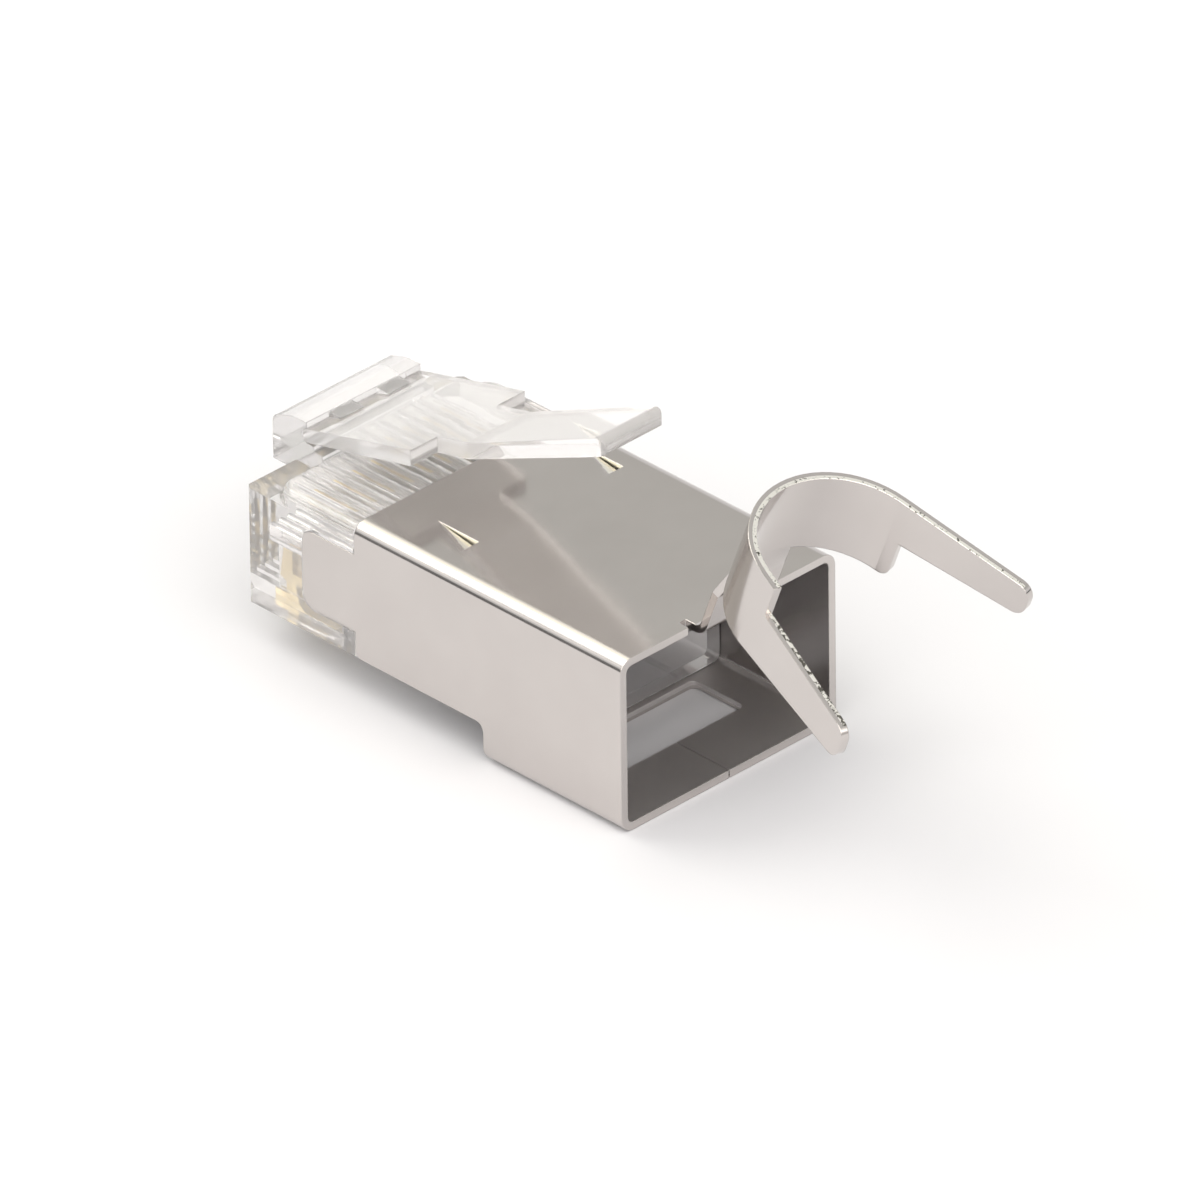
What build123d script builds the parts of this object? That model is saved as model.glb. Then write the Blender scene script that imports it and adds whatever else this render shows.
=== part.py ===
# Shielded modular plug with eight contacts, as it is before it is crimped onto a cable.
# X runs across the plug, Y towards the nose and Z up. The origin lies on the surface that the
# plug rests on, under the middle of its whole length. Places along Y are measured from the
# rear edge of the shield, and heights from the underside.
import os
from math import cos, radians, sin, sqrt, tan

from build123d import *

# The whole plug
plug_width = 11.7
rear_y = -5.21
fit_gap = 0.03

# Shield: one folded sheet, open at the rear and at the front
sheet = 0.35
bend_inside = 0.3
shield_height = 7.77
shield_length = 14.65
rear_box_length = 7.6
front_edge_height = 1.73
front_edge_corner = 0.3
rear_box_fillet = 0.4
tongue_front = 17.55
tongue_bottom = 2.9
tongue_top = 6.4
tongue_corner = 0.6
seam_gap = 0.06
window_width = 7.5
window_start = 2.9
window_end = 5.7
window_corner = 0.3
barb_spacing = 7.85
barb_offset = 0.56
barb_start = 10.25
barb_length = 2.25
barb_width = 1.0
barb_drop = 0.35
barb_slit = 0.1

# Clip for the cable: a neck that rises from the rear edge, a round saddle and two arms
neck_width = 3.6
neck_top_width = 3.0
neck_lean = 69
neck_bend = 0.4
neck_start = -0.27
neck_flat_end = 2.0
nick_width = 0.35
nick_depth = 0.5
rim_rise = 7.32
saddle_radius = 3.95
strap_width = 3.9
arm_flare = 12
right_arm_length = 6.3
right_arm_step = 0.55
right_arm_root = 2.0
right_arm_tip = 1.4
left_arm_length = 7.06
left_arm_step = 0.9
left_arm_notch = 1.5
left_arm_tip_edge = 1.7
left_arm_tip_end = 3.2
strap_corner = 0.45
arm_tip_corner = 0.6

# Housing: the clear moulding that the shield is folded round
housing_rear = 6.0
housing_bottom = 1.75
nose_front = 21.5
nose_top = 6.95
nose_corner = 1.0
nose_chin = 0.35
nose_brow = 0.8
deck_top = 7.7
deck_front = 19.2
deck_corner = 1.0
deck_edge = 0.45
tongue_seat = 0.5
cavity_wall = 0.75
cavity_end = 10.0
funnel_end = 12.3

# Block on the nose that carries the latch
block_width = 6.2
block_rear = 19.68
block_front = 21.98
block_lip = 6.5
block_top = 8.89
block_crest = 20.8
block_crest_round = 1.0
block_brow = 8.5
block_brow_round = 0.45
block_heel_round = 0.15
recess_front = 20.06
tooth_spacing = 2.54
tooth_width = 1.23
tooth_rear = 19.37

# Latch: a wide tab that ends in two shoulders, then a narrow lever
latch_axis_y = 20.0
latch_axis_z = 8.3
hinge_thickness = 0.6
hinge_gap = 0.04
tab_slope = 13.6
tab_thickness = 0.72
shoulder_y = 14.25
lever_width = 3.3
lever_slope = 23.7
lever_knee = 12.5
lever_tip = 4.9
lever_tip_thickness = 0.8
lever_corner = 0.5
knee_round = 2.0

# Contacts: blades that stand in slots in the nose, each with two prongs that reach up to a wire
contact_count = 8
contact_pitch = 1.02
contact_thickness = 0.33
contact_rear = 16.75
contact_front = 20.15
contact_bottom = 1.15
contact_corner = 0.3
foot_top = 1.65
heel_top = 2.15
heel_rear = 18.9
heel_round = 0.6
neck_front = 19.45
barb_front = 19.78
barb_base = 2.75
barb_top = 2.9
prong_rear = 17.25
prong_front = 19.6
prong_width = 0.5
prong_top = 4.2
prong_root = 3.2
bridge_bottom = 2.8
slot_width = 0.62
slot_rear = 16.2
slot_top = 2.35
wire_bore = 0.9
wire_bore_end = 20.2

side = Plane((0, rear_y, 0), x_dir=(0, 1, 0), z_dir=(1, 0, 0))
plan = Plane((0, rear_y, 0))


# Plane across the plug at a distance from the shield's rear edge, facing the rear
def across(y):
    return Plane((0, rear_y + y, 0), x_dir=(1, 0, 0), z_dir=(0, -1, 0))


# The corners of the open sketch that lie at the given points
def corners(*points):
    found = []
    for point in points:
        found.append(vertices().sort_by_distance(Vector(*point))[0])
    return found


# Point of the latch's tab: how far back along it from the axis, and how far above its middle
def on_tab(back, above):
    return (
        latch_axis_y - back * cos(tab_turn) + above * sin(tab_turn),
        latch_axis_z + back * sin(tab_turn) + above * cos(tab_turn),
    )


# Height of the tab's top, which is a little steeper than its underside
def tab_top(y):
    start_y, start_z = on_tab(0, hinge_thickness / 2)
    shoulder_top = shoulder_underside + tab_thickness
    return start_z + (shoulder_top - start_z) * (start_y - y) / (start_y - shoulder_y)


# Latch seen from the side: what the block's groove and teeth follow too
tab_turn = radians(tab_slope)
lever_turn = radians(lever_slope)
hinge_low = on_tab(-hinge_thickness / 2, -hinge_thickness / 2)
hinge_high = on_tab(-hinge_thickness / 2, hinge_thickness / 2)
shoulder_underside = hinge_low[1] + (hinge_low[0] - shoulder_y) * tan(tab_turn)
knee_underside = hinge_low[1] + (hinge_low[0] - lever_knee) * tan(tab_turn)
tip_underside = knee_underside + (lever_knee - lever_tip) * tan(lever_turn)
tip_top = (
    lever_tip + lever_tip_thickness * sin(lever_turn),
    tip_underside + lever_tip_thickness * cos(lever_turn),
)

# Hollow pressed into the sheet beside a cut: it starts from a point and deepens towards the rear
barb_cuts = (barb_offset - barb_spacing / 2, barb_offset + barb_spacing / 2)
with BuildSketch(across(barb_start)) as barb_mouth:
    with BuildLine():
        bottom = TangentArc(
            (-barb_width, shield_height), (0, shield_height - barb_drop), tangent=(1, 0)
        )
        Polyline(bottom @ 1, (0, shield_height), bottom @ 0)
    make_face()
with BuildPart() as barb_hollow:
    loft(
        sections=[
            barb_mouth.sketch,
            Vertex(0, rear_y + barb_start + barb_length, shield_height),
        ]
    )

# Shield
neck_turn = radians(neck_lean)
rim = Plane(
    (0, rear_y + neck_start - rim_rise * cos(neck_turn), shield_height + rim_rise * sin(neck_turn)),
    x_dir=(1, 0, 0),
    z_dir=(0, -cos(neck_turn), sin(neck_turn)),
)
flare = radians(arm_flare)

with BuildPart() as shield:
    # Tube with four rounded bends, as long as the tongues reach
    with BuildSketch(across(0)):
        with Locations((0, shield_height / 2)):
            RectangleRounded(plug_width, shield_height, bend_inside + sheet)
            RectangleRounded(
                plug_width - 2 * sheet, shield_height - 2 * sheet, bend_inside, mode=Mode.SUBTRACT
            )
    extrude(amount=-tongue_front)
    # What the cut blank leaves of it, seen from the side
    with BuildSketch(side):
        with BuildLine():
            Polyline(
                (0, 0),
                (rear_box_length, 0),
                (rear_box_length, front_edge_height),
                (shield_length, front_edge_height),
                (shield_length, tongue_bottom),
                (tongue_front, tongue_bottom),
                (tongue_front, tongue_top),
                (shield_length, tongue_top),
                (shield_length, shield_height),
                (0, shield_height),
                close=True,
            )
        make_face()
        fillet(corners((rear_box_length, front_edge_height)), rear_box_fillet)
        fillet(
            corners((rear_box_length, 0), (shield_length, front_edge_height)), front_edge_corner
        )
        fillet(corners((tongue_front, tongue_bottom), (tongue_front, tongue_top)), tongue_corner)
    extrude(amount=plug_width / 2, both=True, mode=Mode.INTERSECT)
    # The two bottom flaps meet along a seam and leave a window
    with BuildSketch(plan):
        with Locations((0, (window_start + window_end) / 2)):
            RectangleRounded(window_width, window_end - window_start, window_corner)
        with Locations((0, rear_box_length / 2)):
            Rectangle(seam_gap, rear_box_length)
    extrude(amount=sheet, mode=Mode.SUBTRACT)
    # Barbs: two hollows beside cuts that run along the top, slit free at their deep end
    for cut_x in barb_cuts:
        with Locations((cut_x, 0, 0)):
            add(barb_hollow.part, mode=Mode.SUBTRACT)
        with Locations((cut_x, 0, -sheet)):
            add(barb_hollow.part)
        with BuildSketch(plan.offset(shield_height)):
            with BuildLine():
                Polyline(
                    (cut_x, barb_start + barb_length),
                    (cut_x, barb_start),
                    (cut_x - barb_width / 2, barb_start),
                    (cut_x - barb_width / 2, barb_start + barb_slit),
                    (cut_x - barb_slit, barb_start + barb_slit),
                    close=True,
                )
            make_face()
        extrude(amount=-sheet - barb_drop, mode=Mode.SUBTRACT)
    # Nicks beside the neck, then the neck itself as far as its flat part goes
    with BuildSketch(plan.offset(shield_height)):
        nick_x = (neck_width + nick_width) / 2
        with Locations((-nick_x, nick_depth / 2), (nick_x, nick_depth / 2)):
            Rectangle(nick_width, nick_depth)
    extrude(amount=-sheet, mode=Mode.SUBTRACT)
    neck_back = sheet * tan(neck_turn / 2)
    neck_start_z = shield_height - sheet
    flat_y = neck_start - neck_flat_end * cos(neck_turn)
    flat_z = shield_height + neck_flat_end * sin(neck_turn)
    with BuildSketch(side):
        with BuildLine():
            Polyline(
                (nick_depth, shield_height),
                (neck_start, shield_height),
                (flat_y, flat_z),
                (flat_y - sheet * sin(neck_turn), flat_z - sheet * cos(neck_turn)),
                (neck_start - neck_back, neck_start_z),
                (nick_depth, neck_start_z),
                close=True,
            )
        make_face()
        fillet(corners((neck_start, shield_height)), neck_bend)
        fillet(corners((neck_start - neck_back, neck_start_z)), neck_bend + sheet)
    extrude(amount=neck_width / 2, both=True)
    # The neck grows round as it meets the saddle
    with BuildSketch(rim.offset(neck_flat_end - rim_rise)):
        with Locations((0, -sheet / 2)):
            Rectangle(neck_width, sheet)
    with BuildSketch(rim.offset(-strap_width)):
        half_top = neck_top_width / 2
        saddle_inside = saddle_radius - sheet
        inside_half = half_top * saddle_inside / saddle_radius
        edge_drop = sqrt(saddle_radius**2 - half_top**2) - saddle_radius
        inside_drop = sqrt(saddle_inside**2 - inside_half**2) - saddle_radius
        with BuildLine():
            ThreePointArc((-half_top, edge_drop), (0, 0), (half_top, edge_drop))
            Line((half_top, edge_drop), (inside_half, inside_drop))
            ThreePointArc((inside_half, inside_drop), (0, -sheet), (-inside_half, inside_drop))
            Line((-inside_half, inside_drop), (-half_top, edge_drop))
        make_face()
    loft(ruled=True)
    # Saddle
    with BuildSketch(rim):
        with BuildLine():
            outer_arc = CenterArc((0, -saddle_radius), saddle_radius, arm_flare, 180 - 2 * arm_flare)
            inner_arc = CenterArc(
                (0, -saddle_radius), saddle_radius - sheet, arm_flare, 180 - 2 * arm_flare
            )
            Line(outer_arc @ 0, inner_arc @ 0)
            Line(outer_arc @ 1, inner_arc @ 1)
        make_face()
    extrude(amount=-strap_width)
    # Arms, narrowed so that one passes beside the other when the clip is closed
    arm_outlines = {
        1: [
            (0, 0),
            (right_arm_length, 0),
            (right_arm_length, -right_arm_tip),
            (right_arm_step, -right_arm_root),
            (right_arm_step, -strap_width),
            (0, -strap_width),
        ],
        -1: [
            (0, 0),
            (left_arm_step, 0),
            (left_arm_step, -left_arm_notch),
            (left_arm_length, -left_arm_tip_edge),
            (left_arm_length, -left_arm_tip_end),
            (0, -strap_width),
        ],
    }
    for arm_side, outline in arm_outlines.items():
        arm_way = rim.x_dir * (arm_side * sin(flare)) - rim.y_dir * cos(flare)
        arm_start = (
            rim.origin
            + rim.x_dir * (arm_side * saddle_radius * cos(flare))
            + rim.y_dir * (saddle_radius * (sin(flare) - 1))
        )
        with BuildSketch(Plane(arm_start, x_dir=arm_way, z_dir=arm_way.cross(rim.z_dir))):
            with BuildLine():
                Polyline(*outline, close=True)
            make_face()
            arm_length = max(point[0] for point in outline)
            tips = [point for point in outline if point[0] == arm_length]
            fillet(corners(*tips), arm_tip_corner)
            if arm_side > 0:
                fillet(corners((right_arm_step, -strap_width)), strap_corner)
        extrude(amount=arm_side * sheet)

# Housing
inside_width = plug_width - 2 * (sheet + fit_gap)
inside_top = shield_height - sheet - fit_gap
inside_bottom = sheet + fit_gap
wire_z = prong_top + fit_gap + wire_bore / 2
with BuildPart() as housing:
    # The part inside the shield, with a foot that fills the rear box's step
    with BuildSketch(side):
        with BuildLine():
            Polyline(
                (housing_rear, inside_bottom),
                (rear_box_length - fit_gap, inside_bottom),
                (rear_box_length - fit_gap, housing_bottom),
                (shield_length + fit_gap, housing_bottom),
                (shield_length + fit_gap, inside_top),
                (housing_rear, inside_top),
                close=True,
            )
        make_face()
    extrude(amount=inside_width / 2, both=True)
    fillet(edges().filter_by(Axis.Y).group_by(Axis.Z)[-1], bend_inside)
    fillet(edges().filter_by(Axis.Y).group_by(Axis.Z)[0], bend_inside)
    # Nose
    with BuildSketch(side):
        with BuildLine():
            Polyline(
                (shield_length + fit_gap, housing_bottom),
                (nose_front, housing_bottom),
                (nose_front, nose_top),
                (shield_length + fit_gap, nose_top),
                close=True,
            )
        make_face()
        chamfer(corners((nose_front, housing_bottom)), nose_chin)
        chamfer(corners((nose_front, nose_top)), nose_brow)
    extrude(amount=plug_width / 2, both=True)
    chamfer(edges().filter_by(Axis.Z).group_by(Axis.Y)[-1], nose_corner)
    # Deck behind the nose, as high as the shield
    with BuildSketch(plan.offset(nose_top - deck_edge)) as deck_plan:
        with Locations((0, (shield_length + fit_gap + deck_front) / 2)):
            Rectangle(plug_width, deck_front - shield_length - fit_gap)
        fillet(deck_plan.vertices().group_by(Axis.Y)[-1], deck_corner)
    extrude(amount=deck_top - nose_top + deck_edge)
    fillet(edges().group_by(Axis.Z)[-1].filter_by(Axis.Y), deck_edge)
    # Block that carries the latch, joined to the deck behind it
    with BuildSketch(side):
        with BuildLine():
            Polyline(
                (deck_front, block_lip),
                (block_front, block_lip),
                (block_front, block_brow),
                (block_crest, block_top),
                (block_rear, block_top),
                (block_rear, deck_top),
                (deck_front, deck_top),
                close=True,
            )
        make_face()
        fillet(corners((block_front, block_brow)), block_brow_round)
        fillet(corners((block_crest, block_top)), block_crest_round)
        fillet(corners((block_rear, deck_top)), block_heel_round)
    extrude(amount=block_width / 2, both=True)
    # Groove across the block for the rounded end of the tab, open towards the rear
    groove_radius = hinge_thickness / 2 + hinge_gap
    with BuildSketch(side):
        with Locations((latch_axis_y, latch_axis_z)):
            Circle(groove_radius)
        with BuildLine():
            Polyline(
                (recess_front, block_top),
                (recess_front, latch_axis_z),
                (latch_axis_y, latch_axis_z - groove_radius),
                (block_rear, latch_axis_z - groove_radius),
                (block_rear, block_top),
                close=True,
            )
        make_face()
    extrude(amount=block_width / 2, both=True, mode=Mode.SUBTRACT)
    # Two teeth reach back from the block over the tab
    for tooth_x in (-tooth_spacing / 2, tooth_spacing / 2):
        with BuildSketch(side.offset(tooth_x)):
            with BuildLine():
                Polyline(
                    (recess_front, tab_top(recess_front) + hinge_gap),
                    (recess_front, block_top),
                    (tooth_rear, block_top),
                    (tooth_rear, tab_top(tooth_rear) + hinge_gap),
                    close=True,
                )
            make_face()
        extrude(amount=tooth_width / 2, both=True)
    # Recesses for the shield's tongues
    with BuildSketch(side):
        with BuildLine():
            Polyline(
                (shield_length, tongue_bottom - fit_gap),
                (tongue_front + fit_gap, tongue_bottom - fit_gap),
                (tongue_front + fit_gap, tongue_top + fit_gap),
                (shield_length, tongue_top + fit_gap),
                close=True,
            )
        make_face()
        fillet(
            corners(
                (tongue_front + fit_gap, tongue_bottom - fit_gap),
                (tongue_front + fit_gap, tongue_top + fit_gap),
            ),
            tongue_corner,
        )
    extrude(amount=plug_width / 2, both=True, mode=Mode.SUBTRACT)
    with BuildSketch(side):
        with Locations(((shield_length + tongue_front) / 2, (tongue_bottom + tongue_top) / 2)):
            Rectangle(
                tongue_front - shield_length + 2 * tongue_seat,
                tongue_top - tongue_bottom + 2 * tongue_seat,
            )
    extrude(amount=inside_width / 2, both=True)
    # Pockets under the barbs
    with BuildSketch(plan.offset(inside_top)):
        for cut_x in barb_cuts:
            with Locations((cut_x - barb_width / 2, barb_start + barb_length / 2)):
                Rectangle(barb_width + 2 * fit_gap, barb_length + 2 * fit_gap)
    extrude(amount=-barb_drop - fit_gap, mode=Mode.SUBTRACT)
    # Cable cavity, and the funnel that leads to the wire bores
    cavity_width = inside_width - 2 * cavity_wall
    cavity_bottom = housing_bottom + cavity_wall
    cavity_top = inside_top - cavity_wall
    cavity_height = cavity_top - cavity_bottom
    with BuildSketch(across(housing_rear)):
        with Locations((0, (cavity_bottom + cavity_top) / 2)):
            Rectangle(cavity_width, cavity_height)
    extrude(amount=housing_rear - cavity_end, mode=Mode.SUBTRACT)
    with BuildSketch(across(cavity_end)):
        with Locations((0, (cavity_bottom + cavity_top) / 2)):
            Rectangle(cavity_width, cavity_height)
    with BuildSketch(across(funnel_end)):
        with Locations((0, wire_z)):
            Rectangle(contact_count * contact_pitch, wire_bore)
    loft(mode=Mode.SUBTRACT)
    # A bore for each wire
    with BuildSketch(across(funnel_end - fit_gap)):
        with Locations((0, wire_z)):
            with GridLocations(contact_pitch, 0, contact_count, 1):
                Circle(wire_bore / 2)
    extrude(amount=funnel_end - fit_gap - wire_bore_end, mode=Mode.SUBTRACT)
    # Slots between the ribs under the nose
    with BuildSketch(plan):
        with Locations((0, (slot_rear + nose_front) / 2)):
            with GridLocations(contact_pitch, 0, contact_count, 1):
                Rectangle(slot_width, nose_front - slot_rear)
    extrude(amount=slot_top, mode=Mode.SUBTRACT)
    # Pockets that hold the blades
    with BuildSketch(plan):
        with Locations((0, (prong_rear + barb_front) / 2)):
            with GridLocations(contact_pitch, 0, contact_count, 1):
                Rectangle(contact_thickness + 2 * fit_gap, barb_front - prong_rear + 2 * fit_gap)
    extrude(amount=wire_z, mode=Mode.SUBTRACT)
housing.part.label = "housing"

# Latch
with BuildPart() as latch_lever:
    # Seen from the side
    with BuildSketch(side):
        with BuildLine():
            Polyline(
                hinge_low,
                hinge_high,
                on_tab(0, hinge_thickness / 2),
                (shoulder_y, tab_top(shoulder_y)),
                (lever_knee, knee_underside + tab_thickness),
                tip_top,
                (lever_tip, tip_underside),
                (lever_knee, knee_underside),
                close=True,
            )
        make_face()
        fillet(corners(hinge_low, hinge_high), hinge_thickness / 2 - hinge_gap / 2)
        fillet(
            corners((lever_knee, knee_underside), (lever_knee, knee_underside + tab_thickness)),
            knee_round,
        )
        fillet(
            corners((lever_tip, tip_underside), tip_top),
            lever_tip_thickness / 2 - fit_gap,
        )
    extrude(amount=block_width / 2, both=True)
    # Seen from above
    hinge_front = latch_axis_y + hinge_thickness / 2
    with BuildSketch(plan) as latch_plan:
        with Locations((0, (hinge_front + shoulder_y) / 2)):
            Rectangle(block_width, hinge_front - shoulder_y)
        with Locations((0, (lever_tip + shoulder_y) / 2)):
            Rectangle(lever_width, shoulder_y - lever_tip)
        fillet(latch_plan.vertices().group_by(Axis.Y)[0], lever_corner)
    extrude(amount=tip_top[1], mode=Mode.INTERSECT)

shield.part.label = "shield"
latch_lever.part.label = "latch_lever"
os.makedirs("parts", exist_ok=True)
export_step(shield.part, "parts/shield.step")
export_step(housing.part, "parts/housing.step")
export_step(latch_lever.part, "parts/latch_lever.step")

# Contacts, from the left one to the right one
for number in range(contact_count):
    contact_x = (number - (contact_count - 1) / 2) * contact_pitch
    with BuildPart() as contact:
        with BuildSketch(side.offset(contact_x)):
            with BuildLine():
                Polyline(
                    (contact_rear, contact_bottom),
                    (contact_front, contact_bottom),
                    (contact_front, heel_top),
                    (neck_front, heel_top),
                    (neck_front, barb_base),
                    (barb_front, barb_top),
                    (prong_front, prong_top),
                    (prong_front - prong_width, prong_top),
                    (prong_front - prong_width, prong_root),
                    (prong_rear + prong_width, prong_root),
                    (prong_rear + prong_width, prong_top),
                    (prong_rear, prong_top),
                    (prong_rear, bridge_bottom),
                    (heel_rear, bridge_bottom),
                    (heel_rear, foot_top),
                    (contact_rear, foot_top),
                    close=True,
                )
            make_face()
            fillet(corners((contact_front, contact_bottom)), contact_corner)
            fillet(corners((heel_rear, foot_top)), heel_round)
        extrude(amount=contact_thickness / 2, both=True)
    contact.part.label = f"contact_{number + 1}"
    export_step(contact.part, f"parts/contact_{number + 1}.step")
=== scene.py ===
# Shielded modular plug, open and uncrimped, on a white table
import math

import bpy
from mathutils import Matrix, Vector

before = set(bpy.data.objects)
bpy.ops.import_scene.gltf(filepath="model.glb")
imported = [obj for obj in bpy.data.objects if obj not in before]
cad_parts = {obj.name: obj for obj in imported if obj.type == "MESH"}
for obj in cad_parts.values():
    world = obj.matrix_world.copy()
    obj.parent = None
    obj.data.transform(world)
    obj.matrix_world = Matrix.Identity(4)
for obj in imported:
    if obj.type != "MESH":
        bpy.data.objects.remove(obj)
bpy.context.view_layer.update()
print("frame loaded:", len(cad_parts), "nodes")


class Value:  # a number in a material, so that sums are written as sums
    def __init__(self, finish, socket):
        self.finish = finish
        self.socket = socket

    def combine(self, operation, first, second):
        inputs = {0: first, 1: second}
        return self.finish.add("ShaderNodeMath", {"operation": operation}, inputs).out()

    def __add__(self, other): return self.combine("ADD", self, other)
    def __radd__(self, other): return self.combine("ADD", other, self)
    def __sub__(self, other): return self.combine("SUBTRACT", self, other)
    def __rsub__(self, other): return self.combine("SUBTRACT", other, self)
    def __mul__(self, other): return self.combine("MULTIPLY", self, other)
    def __rmul__(self, other): return self.combine("MULTIPLY", other, self)
    def __truediv__(self, other): return self.combine("DIVIDE", self, other)
    def __pow__(self, other): return self.combine("POWER", self, other)
    def __gt__(self, other): return self.combine("GREATER_THAN", self, other)
    def __lt__(self, other): return self.combine("LESS_THAN", self, other)
    def __abs__(self): return self.combine("ABSOLUTE", self, 0)


class Node:  # a node that has been added to a finish
    def __init__(self, finish, node):
        self.finish = finish
        self.node = node

    def out(self, name=0):
        return Value(self.finish, self.node.outputs[name])


class Finish:  # a tree of nodes, made one by one
    def __init__(self, tree):
        self.tree = tree
        self.tree.nodes.clear()

    def add(self, kind, settings=None, inputs=None):
        node = self.tree.nodes.new(kind)
        for name, setting in (settings or {}).items():
            if name == "stops":
                self.setStops(node.color_ramp, setting)
            else:
                setattr(node, name, setting)
        for name, given in (inputs or {}).items():
            if isinstance(given, Value):
                self.tree.links.new(given.socket, node.inputs[name])
            else:
                node.inputs[name].default_value = given
        return Node(self, node)

    def mix(self, mask, first, second):  # of two colours
        return self.add("ShaderNodeMix", {"data_type": "RGBA"}, {
            "Factor": mask, "A": first, "B": second}).out("Result")

    def setStops(self, ramp, stops):
        while len(ramp.elements) < len(stops):
            ramp.elements.new(1.0)
        for element, (place, colour) in zip(ramp.elements, stops):
            element.position = place
            element.color = (*colour, 1.0)

    def surface(self, shader):
        output = self.add("ShaderNodeOutputMaterial")
        self.tree.links.new(shader.out("BSDF").socket, output.node.inputs["Surface"])


def newMaterial(name):
    material = bpy.data.materials.new(name)
    material.use_nodes = True
    return material, Finish(material.node_tree)


plating = {
    "dark": (0.575, 0.54, 0.52),
    "light": (0.60, 0.565, 0.545),
    # painted glint on the clip's torn edges: its bright highlight and its dark breaks
    "glintHighlight": (1.0, 0.97, 0.91),
    "break": (0.16, 0.15, 0.13),
    "roughness": 0.10,
    "smudge": 0.07,         # how much duller the handled places are
    "dullSheared": 0.12,
    "dullInside": 0.12,
    "dullMouthFloor": 0.22,
    "dullPressed": 0.2,
    "clouds": 260.0,        # per metre
    "cloudStops": (0.35, 0.65),
    "grain": 9000.0,
    "shear": 5200.0,
    "grainRelief": 0.01,
    "shearRelief": 0.5,
    "bump": {"Strength": 0.03, "Distance": 0.0002},
    "edge": 0.00006,        # rounding of the cut edges
    "clipEnd": -0.0054,     # the clip lies behind this, along Y
    "saddle": (0.0, -0.008103, 0.014604),   # top of the clip's rim
    "lean": math.radians(69),       # of the clip's neck
    "flare": math.radians(12),      # of the clip's arms
    "armStart": 0.0004,             # how far out from the saddle an arm begins
    "saddleRadius": 0.00395,
    "sheet": 0.00035,
    "cutShare": 0.5,        # of the sheet's thickness, from its outer face, that was cut clean
    "square": 0.93,         # how squarely a face looks along the saddle to be its edge
    "breakStops": (0.36, 0.42),
    "armBreaks": 0.02,      # how much more often an arm's edge is broken
    "longArmBreaks": 0.07,  # and the long arm's, on top of that
    # barbs pressed into the top, painted with a cream painted highlight: half width, lowest,
    # highest, nearest and farthest along Y
    "pressed": (0.0047, 0.0071, 0.00775, 0.005, 0.0074),
    "paintedBarbHighlight": (0.84, 0.81, 0.73, 1.0),
    # inner faces of the mouth, in the same way, and the painted shade on its walls
    "inside": (0.0057, 0.00015, 0.0076, -0.00518, 0.0046),
    "paintedInnerShade": (0.49, 0.465, 0.455, 1.0),
    # floor of the mouth, rougher, and painted lighter as a painted pool of light
    "mouthFloor": (0.0057, 0.00015, 0.0005, -0.00518, 0.0046),
    "paintedFloorLight": (0.68, 0.65, 0.64, 1.0),
}


def within(spot, box):
    side, low, high, near, far = box
    level = (spot.out("Z") > low) * (high > spot.out("Z"))
    return (side > abs(spot.out("X"))) * level * (spot.out("Y") > near) * (far > spot.out("Y"))


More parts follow.
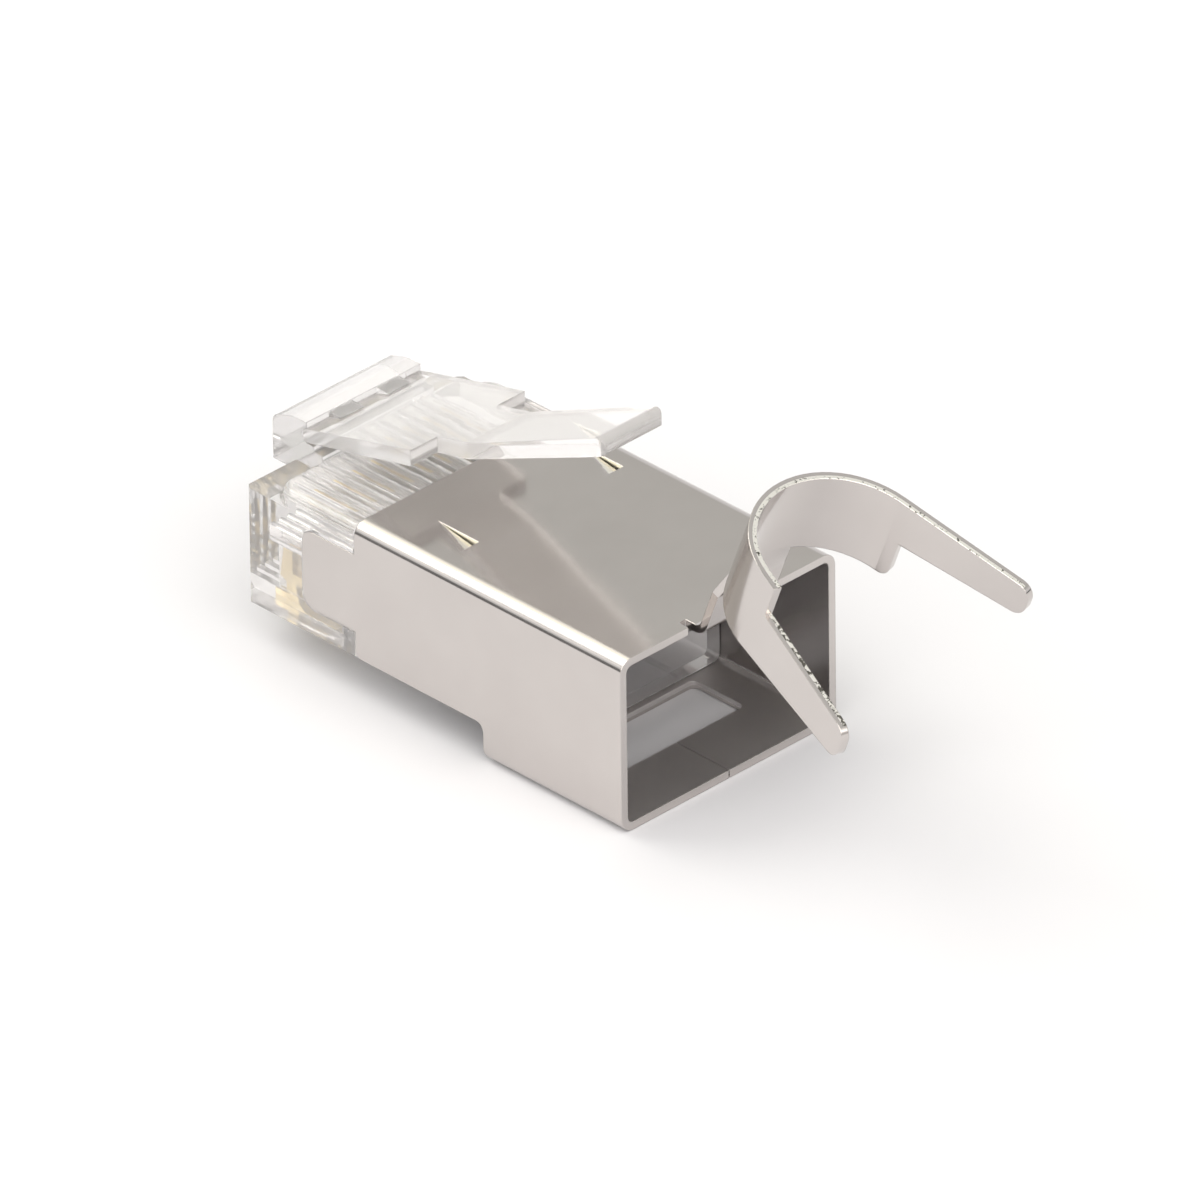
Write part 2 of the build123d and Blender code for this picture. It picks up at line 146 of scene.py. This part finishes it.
def makePlating():
    material, finish = newMaterial("brightNickel")
    place = finish.add("ShaderNodeTexCoord")
    clouds = finish.add("ShaderNodeTexNoise", inputs={
        "Vector": place.out("Object"), "Scale": plating["clouds"],
        "Detail": 4.0, "Roughness": 0.55})
    grain = finish.add("ShaderNodeTexNoise", inputs={
        "Vector": place.out("Object"), "Scale": plating["grain"], "Detail": 2.0})
    shear = finish.add("ShaderNodeTexNoise", inputs={
        "Vector": place.out("Object"), "Scale": plating["shear"],
        "Detail": 3.0, "Roughness": 0.7})
    spot = finish.add("ShaderNodeSeparateXYZ", inputs={"Vector": place.out("Object")})
    # The clip was sheared from the sheet, so its edges are torn towards the inner face, and the
    # torn part is painted with a glint line, a painted highlight with dark breaks
    lean, flare = plating["lean"], plating["flare"]
    along = (0.0, -math.cos(lean), math.sin(lean))
    facing = finish.add("ShaderNodeVectorMath", {"operation": "DOT_PRODUCT"}, {
        0: place.out("Normal"), 1: along})
    top = plating["saddle"]
    rise = (spot.out("Y") - top[1]) * math.sin(lean) + (spot.out("Z") - top[2]) * math.cos(lean)
    rise = rise + plating["saddleRadius"]   # from the saddle's axis
    across = abs(spot.out("X"))
    armWay = across * math.sin(flare) - rise * math.cos(flare)
    onArm = armWay.combine("MAXIMUM", armWay, 0.0)
    fromAxis = (across * across + rise * rise - onArm * onArm) ** 0.5
    depth = (plating["saddleRadius"] - fromAxis) / plating["sheet"]
    sheared = (facing.out("Value") > plating["square"]) * (plating["clipEnd"] > spot.out("Y"))
    sheared = sheared * (depth > plating["cutShare"])
    inside = within(spot, plating["inside"])
    mouthFloor = within(spot, plating["mouthFloor"])
    pressed = within(spot, plating["pressed"])
    low, high = plating["cloudStops"]
    tone = finish.add("ShaderNodeValToRGB", {
        "stops": [(low, plating["dark"]), (high, plating["light"])]}, {"Fac": clouds.out("Fac")})
    # Breaks in the painted glint along the torn edge are more frequent on the arms, most of all
    # on the long one
    longArm = 0.0 > spot.out("X")
    oftener = plating["armBreaks"] + plating["longArmBreaks"] * longArm
    torn = shear.out("Fac") - oftener * (onArm > plating["armStart"])
    low, high = plating["breakStops"]
    glint = finish.add("ShaderNodeValToRGB", {
        "stops": [(low, plating["break"]), (high, plating["glintHighlight"])]}, {"Fac": torn})
    # the torn edges get the painted glint, a painted highlight broken by dark dashes
    colour = finish.mix(sheared, tone.out("Color"), glint.out("Color"))
    # painted shade on the inner walls of the mouth
    colour = finish.mix(inside, colour, plating["paintedInnerShade"])
    # painted light on the floor of the mouth
    colour = finish.mix(mouthFloor, colour, plating["paintedFloorLight"])
    # painted cream highlight in the pressed barbs
    colour = finish.mix(pressed, colour, plating["paintedBarbHighlight"])
    rounded = finish.add("ShaderNodeBevel", {"samples": 6}, {"Radius": plating["edge"]})
    relief = clouds.out("Fac") + plating["grainRelief"] * grain.out("Fac")
    relief = relief + plating["shearRelief"] * sheared * shear.out("Fac")
    bump = finish.add("ShaderNodeBump", inputs={
        **plating["bump"], "Height": relief, "Normal": rounded.out("Normal")})
    dullness = plating["roughness"] + plating["smudge"] * clouds.out("Fac")
    dullness = dullness + plating["dullSheared"] * sheared + plating["dullInside"] * inside
    dullness = dullness + plating["dullMouthFloor"] * mouthFloor + plating["dullPressed"] * pressed
    shader = finish.add("ShaderNodeBsdfPrincipled", inputs={
        "Base Color": colour,
        "Metallic": 1.0,
        "Roughness": dullness,
        "Normal": bump.out("Normal"),
    })
    finish.surface(shader)
    return material


clear = {
    "colour": (1.0, 0.985, 0.98),
    "shaded": (0.62, 0.605, 0.61),  # where it lies deep in the shield
    "shadeEnd": (0.004, 0.008),     # along Y
    "shadeTop": 0.0076,             # the latch above this isn't in the shield
    "ior": 1.58,
    "through": {"housing": 0.84, "latch_lever": 0.79},    # the rest is haze
    "roughness": 0.004,
    "mottle": 0.02,         # how much duller it is in places
    "ripple": 900.0,
    "bump": {"Strength": 0.025, "Distance": 0.0001},
    "edge": 0.00005,
}


def makeClear(nodeName, materialName):
    material, finish = newMaterial(materialName)
    place = finish.add("ShaderNodeTexCoord")
    ripple = finish.add("ShaderNodeTexNoise", inputs={
        "Vector": place.out("Object"), "Scale": clear["ripple"], "Detail": 2.0})
    rounded = finish.add("ShaderNodeBevel", {"samples": 4}, {"Radius": clear["edge"]})
    bump = finish.add("ShaderNodeBump", inputs={
        **clear["bump"], "Height": ripple.out("Fac"), "Normal": rounded.out("Normal")})
    spot = finish.add("ShaderNodeSeparateXYZ", inputs={"Vector": place.out("Object")})
    dark, light = clear["shadeEnd"]
    outside = spot.out("Y") + (spot.out("Z") > clear["shadeTop"])   # a whole metre clears it
    depth = finish.add("ShaderNodeMapRange", inputs={
        "Value": outside, "From Min": dark, "From Max": light})
    colour = finish.add("ShaderNodeValToRGB", {
        "stops": [(0.0, clear["shaded"]), (1.0, clear["colour"])]}, {"Fac": depth.out("Result")})
    shader = finish.add("ShaderNodeBsdfPrincipled", inputs={
        "Base Color": colour.out("Color"),
        "Roughness": clear["roughness"] + clear["mottle"] * ripple.out("Fac"),
        "IOR": clear["ior"],
        "Transmission Weight": clear["through"][nodeName],
        "Normal": bump.out("Normal"),
    })
    finish.surface(shader)
    return material


gold = {
    "pale": (0.93, 0.78, 0.45),
    "deep": (0.70, 0.56, 0.28),
    "roughness": 0.2,
    "smudge": 0.1,
    "clouds": 700.0,
    "cloudStops": (0.35, 0.6),
    "edge": 0.00004,
}


def makeGold():
    material, finish = newMaterial("paleGold")
    place = finish.add("ShaderNodeTexCoord")
    clouds = finish.add("ShaderNodeTexNoise", inputs={
        "Vector": place.out("Object"), "Scale": gold["clouds"], "Detail": 3.0})
    low, high = gold["cloudStops"]
    tone = finish.add("ShaderNodeValToRGB", {
        "stops": [(low, gold["deep"]), (high, gold["pale"])]}, {"Fac": clouds.out("Fac")})
    rounded = finish.add("ShaderNodeBevel", {"samples": 4}, {"Radius": gold["edge"]})
    shader = finish.add("ShaderNodeBsdfPrincipled", inputs={
        "Base Color": tone.out("Color"),
        "Metallic": 1.0,
        "Roughness": gold["roughness"] + gold["smudge"] * clouds.out("Fac"),
        "Normal": rounded.out("Normal"),
    })
    finish.surface(shader)
    return material


def dress(nodeName, material):
    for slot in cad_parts[nodeName].material_slots:
        slot.material = material


dress("shield", makePlating())
dress("housing", makeClear("housing", "clearPolycarbonate"))
dress("latch_lever", makeClear("latch_lever", "milkyPolycarbonate"))
paleGold = makeGold()
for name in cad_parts:
    if name.startswith("contact_"):
        dress(name, paleGold)
print("finishes on")


table = {
    "reach": 0.9,
    "colour": (0.625, 0.625, 0.648, 1.0),
    "roughness": 0.6,
    "unevenness": 0.05,
    "clouds": 3.0,          # per metre
    "drop": 0.00002,        # keeps the table just under the plug
}


def makeTable():
    material, finish = newMaterial("whiteTable")
    place = finish.add("ShaderNodeTexCoord")
    clouds = finish.add("ShaderNodeTexNoise", inputs={
        "Vector": place.out("Object"), "Scale": table["clouds"]})
    shader = finish.add("ShaderNodeBsdfPrincipled", inputs={
        "Base Color": table["colour"],
        "Roughness": table["roughness"] + table["unevenness"] * clouds.out("Fac"),
    })
    mesh = bpy.data.meshes.new("table")
    reach = table["reach"]
    low = -table["drop"]
    mesh.from_pydata(
        [(-reach, -reach, low), (reach, -reach, low), (reach, reach, low), (-reach, reach, low)],
        [], [(0, 1, 2, 3)])
    finish.surface(shader)
    mesh.materials.append(material)
    top = bpy.data.objects.new("table", mesh)
    bpy.context.scene.collection.objects.link(top)


studio = {
    "aim": (0.0, 0.0025, 0.004),
    "distance": 0.5,
    # name: direction from the plug, size, radiance
    "over": ((-0.05, -0.3, 1.0), 0.42, 1.0),
    "side": ((-0.25, 0.62, 0.72), 0.28, 3.1),
    "lampColour": (1.0, 0.985, 0.94),
    # colour of the room from the horizon up
    "room": [
        (0.0, (0.12, 0.12, 0.12)),
        (0.09, (0.15, 0.15, 0.15)),
        (0.13, (0.9, 0.9, 0.9)),
        (0.32, (0.95, 0.95, 0.95)),
        (0.42, (0.68, 0.68, 0.65)),
        (0.6, (0.70, 0.70, 0.67)),
        (0.88, (0.78, 0.78, 0.76)),
        (0.96, (0.22, 0.22, 0.22)),   # the lamp above adds to this
        (1.0, (0.2, 0.2, 0.2)),
    ],
    "ahead": (0.698, 0.716, 0.0),   # level, from the plug to the middle of the backdrop
    "backdropEdge": (0.3, 0.6),     # along that
    "sweep": 0.14,                  # how far the white backdrop hides the horizon
    "wall": (2.5, 2.43, 2.34, 1.0),     # lit wall opposite
    "wallEdge": (-0.1, -0.4),
    "skirting": (0.72, 0.70, 0.68, 1.0),    # its unlit foot
    "skirtingEdge": (0.2, 0.36),    # height of the soft edge between them
    # name: direction from the plug, degrees to its soft edge and to its middle, colour
    "halo": ((0.04, 0.61, 0.79), 30, 13, (1.8, 1.75, 1.55, 1.0)),   # glow beside the side lamp
    "flag": ((-0.773, 0.61, 0.17), 7, 3, (0.2, 0.2, 0.2, 1.0)),     # dark card
    "fill": ((-0.62, 0.61, 0.496), 10, 5, (1.3, 1.28, 1.24, 1.0)),  # white card above it
}


def addLamp(name):
    way, size, radiance = studio[name]
    lamp = bpy.data.lights.new(name, "AREA")
    lamp.size = size
    lamp.energy = radiance * math.pi * size ** 2
    lamp.color = studio["lampColour"]
    holder = bpy.data.objects.new(name, lamp)
    toLamp = Vector(way).normalized()
    holder.location = Vector(studio["aim"]) + toLamp * studio["distance"]
    holder.rotation_euler = toLamp.to_track_quat("Z", "Y").to_euler()
    bpy.context.scene.collection.objects.link(holder)


def makeStudio():
    makeTable()
    for name in ("over", "side"):
        addLamp(name)
    world = bpy.data.worlds.new("studio")
    world.use_nodes = True
    room = Finish(world.node_tree)
    way = room.add("ShaderNodeTexCoord")
    height = room.add("ShaderNodeSeparateXYZ", inputs={"Vector": way.out("Generated")})

    def towards(direction):
        return room.add("ShaderNodeVectorMath", {"operation": "DOT_PRODUCT"}, {
            0: way.out("Generated"), 1: direction}).out("Value")

    def softStep(value, start, end, top=1.0):
        return room.add("ShaderNodeMapRange", {"interpolation_type": "SMOOTHSTEP"}, {
            "Value": value, "From Min": start, "From Max": end, "To Max": top}).out("Result")

    ahead = towards(studio["ahead"])
    backdrop = softStep(ahead, *studio["backdropEdge"], studio["sweep"])
    lit = height.out("Z").combine("MAXIMUM", height.out("Z"), backdrop)
    glow = room.add("ShaderNodeValToRGB", {"stops": studio["room"]}, {"Fac": lit})
    raised = softStep(height.out("Z"), *studio["skirtingEdge"])
    wall = room.mix(raised, studio["skirting"], studio["wall"])
    colour = room.mix(softStep(ahead, *studio["wallEdge"]), glow.out("Color"), wall)
    for name in ("halo", "flag", "fill"):
        aim, edge, middle, card = studio[name]
        rims = [math.cos(math.radians(angle)) for angle in (edge, middle)]
        seen = softStep(towards(Vector(aim).normalized()), *rims)
        colour = room.mix(seen, colour, card)
    shader = room.add("ShaderNodeBackground", inputs={"Color": colour})
    output = room.add("ShaderNodeOutputWorld")
    room.tree.links.new(shader.node.outputs["Background"], output.node.inputs["Surface"])
    bpy.context.scene.world = world
    bpy.context.scene.view_settings.view_transform = "Standard"


camera = {
    "target": (0.000677, 0.002515, 0.004448),
    "azimuth": math.radians(44.3),    # of the view, from +Y towards +X
    "elevation": math.radians(31.59),
    "roll": math.radians(0.71),
    "distance": 1.0,
    "lens": 774.3,
    "sensor": 36.0,
    "nearest": 0.05,
    "farthest": 10.0,
}


def makeCamera():
    lens = bpy.data.cameras.new("camera")
    lens.lens = camera["lens"]
    lens.sensor_width = camera["sensor"]
    lens.clip_start = camera["nearest"]
    lens.clip_end = camera["farthest"]
    eye = bpy.data.objects.new("camera", lens)
    level = math.cos(camera["elevation"])
    ahead = Vector((
        level * math.sin(camera["azimuth"]),
        level * math.cos(camera["azimuth"]),
        -math.sin(camera["elevation"])))
    roll = Matrix.Rotation(-camera["roll"], 3, "Z").to_quaternion()
    eye.rotation_euler = ((-ahead).to_track_quat("Z", "Y") @ roll).to_euler()
    eye.location = Vector(camera["target"]) - ahead * camera["distance"]
    bpy.context.scene.collection.objects.link(eye)
    bpy.context.scene.camera = eye


makeStudio()
makeCamera()
print("studio ready")
